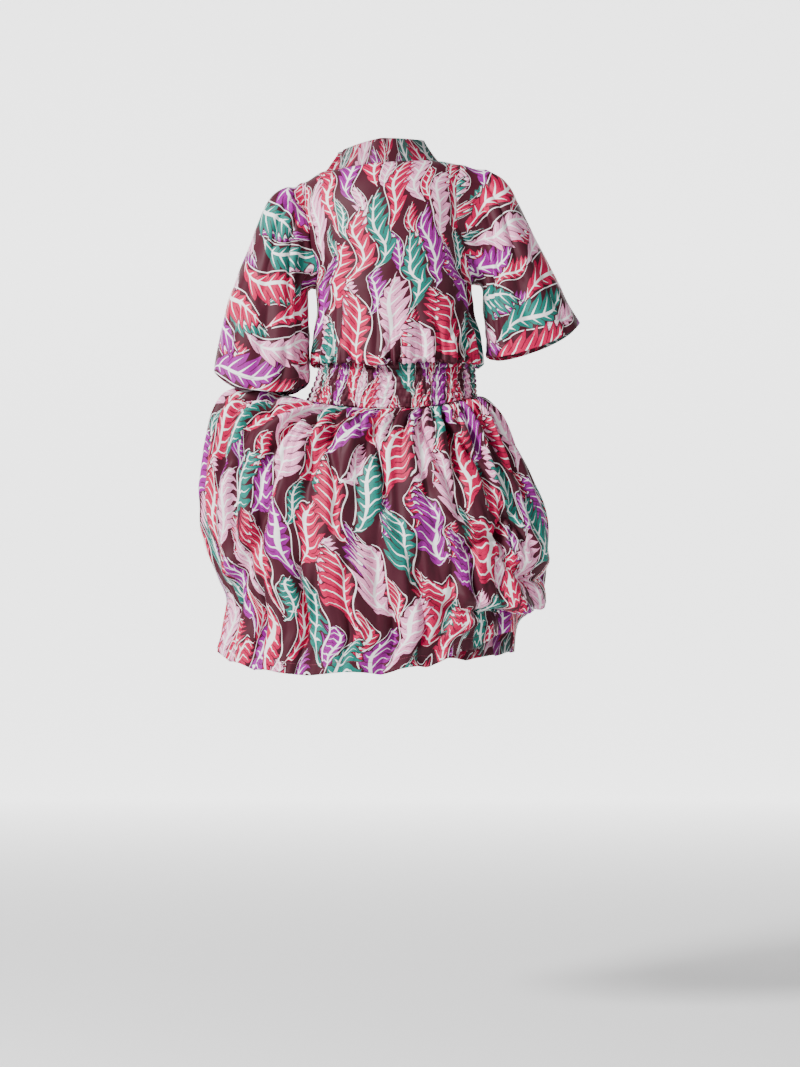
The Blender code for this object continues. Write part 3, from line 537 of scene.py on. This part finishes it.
def cotton(name, shade, hem_stitch=0.0, shirred=0.0):
    """Crisp printed cotton: shade 0 is the right side, and above it the print is darkened toward its ground,
    as on the wrong side's face, whose darkness is painted shade of the inside of the dress.
    """
    material = bpy.data.materials.new(name)
    material.use_nodes = True
    tree = material.node_tree
    shader = tree.nodes["Principled BSDF"]
    uv = tree.nodes.new("ShaderNodeUVMap")
    uv.uv_map = "cloth"
    group = tree.nodes.new("ShaderNodeGroup")
    group.node_tree = bpy.data.node_groups["leaf_print"]
    tree.links.new(uv.outputs[0], group.inputs[0])
    apart = tree.nodes.new("ShaderNodeSeparateXYZ")
    tree.links.new(uv.outputs[0], apart.inputs[0])
    x, y = Field(tree, apart.outputs[0]) * 1000, Field(tree, apart.outputs[1]) * 1000
    edge = tree.nodes.new("ShaderNodeAttribute")
    edge.attribute_name = "from_hem"
    from_hem = Field(tree, edge.outputs["Fac"]) * 1000
    worn = tree.nodes.new("ShaderNodeTexNoise")
    worn.inputs["Scale"].default_value = 14.0
    worn.inputs["Detail"].default_value = 4.0
    tree.links.new(uv.outputs[0], worn.inputs["Vector"])
    fade = Field(tree, worn.outputs["Fac"])
    # Darkens the print toward its ground by shade, which on the wrong side is painted shade of the dress's
    # inside, with a slow random fade on top.
    colour = mixed(tree, fade * 0.10 + shade, group.outputs[0], GROUND)
    weave = ((x * 1.9).wave().size() + (y * 1.9).wave().size()) * 0.5
    height = weave * 0.10 + fade * 0.5
    if hem_stitch:
        line = (from_hem - hem_stitch).size()
        stitch = (line < 0.55) * ((x / 3.2).part() < 0.72)
        groove = (line * -0.45 + 1).within(0, 1)
        colour = mixed(tree, stitch * 0.7, colour, (0.20, 0.03, 0.06, 1))
        height = height - groove * 0.9 + stitch * 0.5
    if shirred:
        row = ((from_hem / shirred).part() - 0.5).size() * (2 * shirred)
        thread = (row > shirred - 0.9) * ((x / 2.6).part() < 0.7)
        colour = mixed(tree, thread * 0.75, colour, (0.07, 0.012, 0.022, 1))
        height = height + thread * 0.6
    bump = tree.nodes.new("ShaderNodeBump")
    bump.inputs["Strength"].default_value = 0.35
    bump.inputs["Distance"].default_value = 0.0008
    tree.links.new(height.socket, bump.inputs["Height"])
    tree.links.new(bump.outputs[0], shader.inputs["Normal"])
    tree.links.new(colour, shader.inputs["Base Color"])
    tree.links.new((fade * 0.16 + 0.50).socket, shader.inputs["Roughness"])
    shader.inputs["Specular IOR Level"].default_value = 0.22
    return material


leaf_print()
right_side = cotton("printed_cotton", 0.0)
# The wrong side: the print darkened well past the real cloth's wrong side, as painted shade of the inside of
# the dress.
wrong_side_painted_shade = cotton("cotton_wrong_side", 0.42)
hemmed = cotton("printed_cotton_hemmed", 0.0, hem_stitch=19)
shirring = cotton("shirred_cotton", 0.04, shirred=10.4)


# Skirt

def skirt_form(front, turn, down):
    """The worn form of the skirt before its folds, with the pocket mouths parted at the sides."""
    points = ring(SKIRT, turn, down)
    points[..., 2] += looked_up(HEM_LIFT["turn"], HEM_LIFT["lift"], turn) * smooth(0.7, 1, down)
    seam = np.abs((turn * 2 + 0.5) % 1 - 0.5) / 2
    share = np.clip((down - 0.03) / 0.27, 0, 1)
    parted = np.exp(-(seam / 0.022) ** 2) * np.sin(PI * share) ** 0.7
    points[..., 1] += 11 * parted * (-1 if front else 1)
    points[..., 2] += 11 * parted * (0.2 if front else -0.5)
    return points


def gathered(turn, folds, wander):
    """Round ridges with sharp valleys between them, from -0.6 to 0.4."""
    return np.abs(np.cos(PI * (folds * turn + wander))) ** 1.15 - 0.6


def skirt_panel(front, columns=440):
    """Half of the skirt: gathered under the band, puffed at the side and loose at the hem."""
    downs = np.concatenate([np.linspace(0, 0.16, 26)[:-1], np.linspace(0.16, 1, 66)])
    across, down = grid(columns, downs)
    turn = (across + front) / 2
    points = skirt_form(front, turn, down)
    seam = np.abs((turn * 2 + 0.5) % 1 - 0.5) / 2
    firm = smooth(0, 0.008, seam)
    reach = 0.05 * uneven(turn, 5)
    wander = 0.22 * np.sin(6 * PI * turn) + 0.13 * np.sin(14 * PI * turn + 1)
    deep = 1 + 0.35 * uneven(turn, 3)
    upper = 13 * gathered(turn, 48, 0.9 * wander + 0.5 * uneven(turn, 1) * down) * smooth(0, 0.07, down)
    upper *= 1 - smooth(0.12, 0.42, down + reach)
    middle = 15 * deep * gathered(turn, 27, 1.2 * wander + 0.8 * down) * smooth(0.05, 0.24, down)
    middle *= 1 - smooth(0.42, 0.8, down + reach)
    lower = 14 * (2 - deep) * gathered(turn, 16, 0.7 * wander - 0.5 * down) * smooth(0.30, 0.75, down)
    large = (upper + middle + lower + creases(SKIRT_CREASES, turn, down, SKIRT_FORM)) * firm
    points = pushed(points, large)
    points[..., 2] += 0.45 * lower * firm * smooth(0.7, 1, down)
    fine = 2.0 * gathered(turn, 110, 0.6 * uneven(turn, 1)) * smooth(0, 0.03, down)
    fine *= 1 - smooth(0.16, 0.30, down + reach)
    fine += 1.8 * crumple(turn, down, SKIRT_FORM, 16, 70, 3.1) * smooth(0, 0.1, down)
    fine += 2.0 * crumple(turn, down, SKIRT_FORM, 34, 34, 8.4) * smooth(0.1, 0.4, down)
    points = pushed(points, fine * firm)
    name = "skirt_front" if front else "skirt_back"
    relief = large + fine * firm
    start = (30 + 700 * front, 60)
    piece = cloth_mesh(name + "_cloth", points, SKIRT_PRINT, start, relief=relief, fullness=1.6)
    finished(piece, name, hemmed, wrong_side_painted_shade)
    return piece


for front in (0, 1):
    skirt_panel(front)


# Waistband

def band_panel(front, columns=400):
    """Half of the shirred band: rows of elastic thread with puffs standing between them."""
    across, down = grid(columns, np.linspace(0, 1, 73))
    turn = (across + front) / 2
    points = ring(BAND, turn, down)
    between = np.abs(np.sin(PI * SHIRRING_ROWS * down)) ** 0.6
    level = np.floor(SHIRRING_ROWS * down)
    jog = 0.32 * np.sin(level * 2.4 + 40 * turn)
    ridge = np.abs(np.cos(PI * (62 * turn + jog + 0.5 * uneven(turn, 3)))) ** 0.8
    second = np.abs(np.cos(PI * (131 * turn + 1.7 * jog + 0.4 * uneven(turn, 6))))
    puff = 5.4 * (0.42 + 0.58 * between) * (0.75 * ridge + 0.30 * second)
    firm = smooth(0, 0.006, np.minimum(across, 1 - across))
    firm = firm * smooth(0, 0.03, down) * smooth(1, 0.97, down)
    points = pushed(points, puff * firm)
    name = "waistband_front" if front else "waistband_back"
    start = (240 + 500 * front, 830)
    piece = cloth_mesh(name + "_cloth", points, BAND_PRINT, start, relief=puff, fullness=1.5)
    finished(piece, name, shirring, wrong_side_painted_shade, thickness=1.2)
    return piece


for front in (0, 1):
    band_panel(front)


# Bodice

def shoulder_height(x):
    return looked_up(SHOULDER["x"], SHOULDER["z"], np.clip(x, RIGHT_TIP, LEFT_TIP))


def trunk_depth(x, z, front):
    left, right = looked_up(TRUNK["z"], TRUNK["left"], z), looked_up(TRUNK["z"], TRUNK["right"], z)
    below = np.clip((shoulder_height(x) - z) / 150, 0, 1)
    rise = (1 - (1 - below) ** 2.4) ** (1 / 2.4)
    chest = FRONT_DEPTH if front else BACK_DEPTH
    full = chest + (WAIST_DEPTH - chest) * smooth(150, 330, -z)
    aside = np.minimum(np.abs(x - (left + right) / 2) / ((left - right) / 2), 1)
    return full * rise * (1 - aside ** 2.2) ** (1 / 2.2)


def edge_x(z, right):
    table = ARMHOLE[right]
    side = looked_up(TRUNK["z"], TRUNK["right" if right else "left"], z)
    return np.where(z > table["z"][0], looked_up(table["z"], table["x"], z), side)


TOP_CURL = 0.3
TOP_COLUMNS, CORNER_COLUMN = 28, 5
CORNER_TURN = CORNER_COLUMN / TOP_COLUMNS
CORNER_CURL = TOP_CURL * math.cos(PI * CORNER_TURN) + (1 - TOP_CURL) * (1 - 2 * CORNER_TURN)
NECK_HALF = SHOULDER_SPAN / 2 * CORNER_CURL


def top_height(x, front):
    """Shoulder seam at the sides and neckline between: low at the back, a V at the front."""
    seam = shoulder_height(x)
    aside = np.abs(x - NECK_X) / NECK_HALF
    line = 5 - 9 * (x - NECK_X) / NECK_HALF
    if front:
        line = V_POINT + (line - V_POINT) * aside ** 1.15
    return np.where(aside >= 1, seam, np.minimum(seam, line))


def top_share(across):
    return TOP_CURL * (1 + np.cos(PI * across)) / 2 + (1 - TOP_CURL) * (1 - across)


def ring_angle(x, z):
    left, right = looked_up(TRUNK["z"], TRUNK["left"], z), looked_up(TRUNK["z"], TRUNK["right"], z)
    return np.arccos(np.clip((2 * x - left - right) / (left - right), -1, 1))


def bodice_form(front, across, down):
    """The worn bodice: turned in at its foot, where it blouses over the band."""
    turn = (across + front) / 2
    u = 1 - across if front else across
    share = np.minimum(down / LIP_AT, 1)
    lip = looked_up(LIP["turn"], LIP["z"], turn)
    top_x = RIGHT_TIP + SHOULDER_SPAN * top_share(u)
    top_z = top_height(top_x, front)
    on_seam = (down == 0) & (top_z > shoulder_height(top_x) - 0.01)
    z = top_z + (lip - top_z) * share
    right_tip_z, left_tip_z = SHOULDER["z"][0], SHOULDER["z"][-1]
    left_z = left_tip_z + (lip - left_tip_z) * share
    right_z = right_tip_z + (lip - right_tip_z) * share
    left, right = edge_x(left_z, 0), edge_x(right_z, 1)
    first, last = ring_angle(left, left_z), ring_angle(right, right_z)
    here = np.cos(first + (last - first) * u)
    place = (here - np.cos(last)) / (np.cos(first) - np.cos(last))
    place += (top_share(u) - place) * (1 - smooth(0, 0.15, down))
    x = right + (left - right) * place
    points = np.stack([x, trunk_depth(x, z, front) * (-1 if front else 1), z], axis=-1)
    points[..., 1] *= ~on_seam
    turned = np.clip((down - LIP_AT) / (1 - LIP_AT), 0, 1)
    seam = ring(BAND, turn, np.zeros_like(turn))
    low = points + (seam - points) * (turned ** 1.6)[..., None]
    low[..., 2] = z + (BAND_TOP + SEAM - z) * np.sin(PI / 2 * turned) - 3 * np.sin(PI * turned)
    return low


def bodice_panel(front, columns=260):
    downs = np.concatenate([np.linspace(0, LIP_AT, 74)[:-1], np.linspace(LIP_AT, 1, 12)])
    across, down = grid(columns, downs)
    turn = (across + front) / 2
    points = bodice_form(front, across, down)
    low = smooth(0.66 + 0.03 * uneven(turn, 5), 0.90, down) * (1 - smooth(0.93, 1, down))
    seam = np.minimum(across, 1 - across)
    firm = smooth(0, 0.02, seam) * smooth(0, 0.03, down)
    large = 11 * (1 + 0.3 * uneven(turn, 2)) * gathered(turn, 26, 0.5 * uneven(turn, 4)) * low
    large += creases(BODICE_CREASES, turn, down, BODICE_FORM) * (1 - smooth(0.92, 0.98, down))
    fine = 3.6 * gathered(turn, 76, 0.8 * uneven(turn, 4))
    fine *= smooth(0.78, 0.9, down) * (1 - smooth(0.96, 1, down))
    fine += 1.5 * crumple(turn, down, BODICE_FORM, 26, 60, 1.7) * smooth(0.05, 0.25, down)
    fine += 0.9 * crumple(turn, down, BODICE_FORM, 60, 90, 5.2)
    points = pushed(pushed(points, large * firm), fine * firm)
    name = "bodice_front" if front else "bodice_back"
    relief = (large + fine) * firm
    start = (12 + 410 * front, 40)
    piece = cloth_mesh(name + "_cloth", points, BODICE_PRINT, start, relief=relief, fullness=1.2)
    finished(piece, name, right_side, wrong_side_painted_shade)
    return piece


for front in (0, 1):
    bodice_panel(front)


# Sleeves

def armhole(right, share):
    """Places on the armhole's rim: 0 at the shoulder tip, 0.5 under the arm by way of the back."""
    table = ARMHOLE[right]
    front = share > 0.5
    fall = np.where(front, 1 - share, share) * 2
    tip, under = table["z"][-1], table["z"][0]
    z = tip + (under - tip) * fall
    x = edge_x(np.minimum(z, tip), right)
    y = np.where(front, -trunk_depth(x, z, 1), trunk_depth(x, z, 0))
    return np.stack([x, y, z], axis=-1)


def sleeve_ring(table, turn, down):
    cosine, sine = np.cos(2 * PI * turn), np.sin(2 * PI * turn)
    outer = np.stack([curve(table["out_x"], down), 0 * down, curve(table["out_z"], down)], axis=-1)
    inner = np.stack([curve(table["in_x"], down), 0 * down, curve(table["in_z"], down)], axis=-1)
    points = (outer + inner) / 2 + (outer - inner) / 2 * signed_power(cosine, 0.85)[..., None]
    points[..., 1] = curve(table["half"], down) * signed_power(sine, 0.8)
    points[..., 2] -= curve(table["sag"], down) * np.abs(sine)
    return points


def sleeve(right, columns=180):
    """A wide tube from the armhole to its turned hem at the elbow."""
    downs = np.concatenate([np.linspace(0, FIRST_RING, 9)[:-1], np.linspace(FIRST_RING, 1, 76)])
    across, down = grid(columns, downs)
    turn = 1 - across if right else across
    rim = armhole(right, turn)
    points = sleeve_ring(SLEEVE[right], turn, np.clip((down - FIRST_RING) / (1 - FIRST_RING), 0, 1))
    near = np.clip(down / FIRST_RING, 0, 1)[..., None]
    points = rim + (points - rim) * near
    firm = smooth(0, 0.10, down)
    cosine, sine = np.cos(2 * PI * turn), np.sin(2 * PI * turn)
    large = creases(SLEEVE_CREASES, turn, down, SLEEVE_FORM)
    points = pushed(points, large * firm, around=True)
    outer = smooth(-0.2, 1, cosine)
    head = smooth(0.10, 0.24, down) * (1 - smooth(0.24, 0.55, down)) * outer
    points = pushed(points, (7 if right else 2) * head, around=True)
    points[..., 2] -= 6 * smooth(0, 0.08, down) * (1 - smooth(0.11, 0.26, down)) * outer
    half_form = (90, SLEEVE_FORM[1])
    wave = crumple(cosine, down, half_form, 34, 60, 2.2 + right)
    wave = wave + 0.8 * crumple(sine, down, half_form, 22, 40, 6.1 + right)
    points = pushed(points, 1.6 * wave * firm, around=True)
    name = "sleeve_right" if right else "sleeve_left"
    start = (90 + 640 * right, 20)
    piece = cloth_mesh(name + "_cloth", points, SLEEVE_PRINT, start, turned=True, around=True)
    finished(piece, name, hemmed, wrong_side_painted_shade)
    return piece


for right in (0, 1):
    sleeve(right)


# Collar

def neck_edge(share):
    """The neckline from the point of the V round the back: the corners are at 0.25 and 0.75."""
    middle = TOP_COLUMNS // 2
    side = middle - CORNER_COLUMN
    place = share * 4 * side
    front = (place < side) | (place > 3 * side)
    back_column = TOP_COLUMNS - CORNER_COLUMN + side - place
    column = np.where(place > 3 * side, middle + 4 * side - place, back_column)
    column = np.where(place < side, middle - place, column) / TOP_COLUMNS
    top = np.zeros_like(share)
    seam = np.where(front[..., None], bodice_form(1, column, top), bodice_form(0, column, top))
    return seam, front


def collar_form(share, up):
    """A band that stands at the back of the neck and lies flat down the V."""
    seam, front = neck_edge(share)
    across = (seam[..., 0] - NECK_X) / NECK_HALF
    none = 0 * across
    upright = np.stack([-24 * across, none, 42 - 8 * np.abs(across)], axis=-1)
    mitre = np.minimum(share, 1 - share) * 4
    stand = np.where(front, smooth(0.5, 1, mitre), 1)[..., None]
    edge = np.array([NECK_HALF, -V_POINT]) / math.hypot(NECK_HALF, V_POINT)
    square = np.stack([-np.sign(across) * edge[1] * 34, none, none + edge[0] * 34], axis=-1)
    point_up = np.stack([none, none, none + 34 / edge[0]], axis=-1)
    mitred = mitre[..., None]
    lift = point_up + (square - point_up) * np.minimum(mitred, 1)
    lift = lift + (upright - lift) * stand
    points = seam + lift * (up[..., None] * 1.07 - 0.07 * stand)
    back_y = seam[..., 1] - 6 * (1 - np.abs(across)) * up + 0.3
    flat_y = -trunk_depth(points[..., 0], points[..., 2], 1)
    front_y = flat_y + (seam[..., 1] - flat_y) * stand[..., 0] - 0.3
    points[..., 1] = np.where(front, front_y, back_y)
    points[..., 0] += 0.6 * (share - 0.5)
    return points


def collar():
    """The band folded double, with a slightly rounded face."""
    share, up = grid(360, np.linspace(0, 1, 15))
    points = collar_form(share, 1 - up)
    points = pushed(points, 1.4 * np.sin(PI * up) ** 0.5)
    piece = cloth_mesh("collar_cloth", points, COLLAR_PRINT, start=(70, 430))
    finished(piece, "collar", right_side, wrong_side_painted_shade, thickness=2.2)
    return piece


collar()


# Pockets

def mouth_edge(down, right, front):
    """One edge of a side seam's open top, a little inside the skirt."""
    turn = np.full_like(down, 0.5 if right else (1.0 if front else 0.0))
    edge = skirt_form(front, turn, down)
    inward = np.array([1.1 if right else -1.1, 0, 0])
    return edge + inward


def pocket(right):
    """A bag sewn to both edges of the side seam's mouth, hanging inside the skirt."""
    along, round_it = np.meshgrid(np.linspace(0, 1, 41), np.linspace(0, 1, 61))
    down = 0.05 + 0.23 * along
    back, front = mouth_edge(down, right, 0), mouth_edge(down, right, 1)
    half = np.maximum((back[..., 1] - front[..., 1]) / 2, 2.3)
    share = (0.5 - 0.5 * np.cos(PI * round_it))[..., None]
    points = back + (front - back) * share
    points[..., 1] = (back[..., 1] + front[..., 1]) / 2 + half * signed_power(np.cos(PI * round_it), 0.4)
    corner = (1 - np.abs(2 * along - 1) ** 4) ** 0.5
    points[..., 2] -= (0.35 + 0.65 * corner) * 150 * np.sin(PI * round_it) ** 0.4
    if not right:
        points = points[:, ::-1]
    wrinkles = crumple(along, round_it, (130, 320), 30, 60, 7.5)
    points = pushed(points, 0.8 * wrinkles * np.sin(PI * round_it))
    name = "pocket_right" if right else "pocket_left"
    piece = cloth_mesh(name + "_cloth", points, POCKET_PRINT, start=(20, 310))
    # Both faces of the bag take the wrong side's darker print, painted shade of the inside of the skirt.
    finished(piece, name, wrong_side_painted_shade, wrong_side_painted_shade, thickness=0.6)
    return piece


for right in (0, 1):
    pocket(right)


# Floor, light and camera

def paper_sweep():
    """A pale floor that curves up into a bright backdrop, well outside the way round the dress."""
    arc = np.linspace(0, PI / 2, 25)
    y = np.concatenate([[9, 4, 0, -3], -4.5 - 2 * np.sin(arc), [-6.5]])
    z = np.concatenate([[FLOOR_Z] * 4, FLOOR_Z + 2 - 2 * np.cos(arc), [5]])
    corners = [(across, back, up) for back, up in zip(y.tolist(), z.tolist()) for across in (-8, 0, 8)]
    firsts = [3 * row + k for row in range(len(y) - 1) for k in (0, 1)]
    quads = [(first, first + 1, first + 4, first + 3) for first in firsts]
    mesh = bpy.data.meshes.new("floor")
    mesh.from_pydata(corners, [], quads)
    mesh.polygons.foreach_set("use_smooth", [True] * len(quads))
    sweep = bpy.data.objects.new("floor", mesh)
    bpy.context.scene.collection.objects.link(sweep)
    pale = bpy.data.materials.new("pale_floor")
    pale.use_nodes = True
    tree = pale.node_tree
    shader = tree.nodes["Principled BSDF"]
    shader.inputs["Base Color"].default_value = (0.9, 0.9, 0.9, 1)
    shader.inputs["Roughness"].default_value = 0.9
    shader.inputs["Emission Color"].default_value = (1, 1, 1, 1)
    place = tree.nodes.new("ShaderNodeTexCoord")
    apart = tree.nodes.new("ShaderNodeSeparateXYZ")
    tree.links.new(place.outputs["Object"], apart.inputs[0])
    back = (Field(tree, apart.outputs[1]) * -0.22).within(0, 1)
    tree.links.new((back * back * 2.2).socket, shader.inputs["Emission Strength"])
    sweep.data.materials.append(pale)


paper_sweep()
world = bpy.data.worlds.new("studio")
bpy.context.scene.world = world
world.use_nodes = True
world.node_tree.nodes["Background"].inputs[0].default_value = (1, 1, 1, 1)
world.node_tree.nodes["Background"].inputs[1].default_value = 0.25


def soft_light(name, place, aim, size, power):
    light = bpy.data.lights.new(name, "AREA")
    light.shape = "DISK"
    light.size = size
    light.energy = power
    lamp = bpy.data.objects.new(name, light)
    lamp.location = place
    lamp.rotation_euler = (Vector(aim) - Vector(place)).to_track_quat("-Z", "Y").to_euler()
    lamp.visible_camera = False
    bpy.context.scene.collection.objects.link(lamp)


soft_light("key", (2.6, 2.3, 1.5), (0, 0, -0.45), 0.9, 350)
soft_light("fill", (-2.6, 2.0, 0.3), (0, 0, -0.5), 1.6, 26)

camera = bpy.data.objects.new("camera", bpy.data.cameras.new("camera"))
camera.data.sensor_width = 36
camera.data.lens = 98
camera.location = (-0.021, 5.1, -0.640)
camera.rotation_euler = (PI / 2, 0, PI)
bpy.context.scene.collection.objects.link(camera)
bpy.context.scene.camera = camera
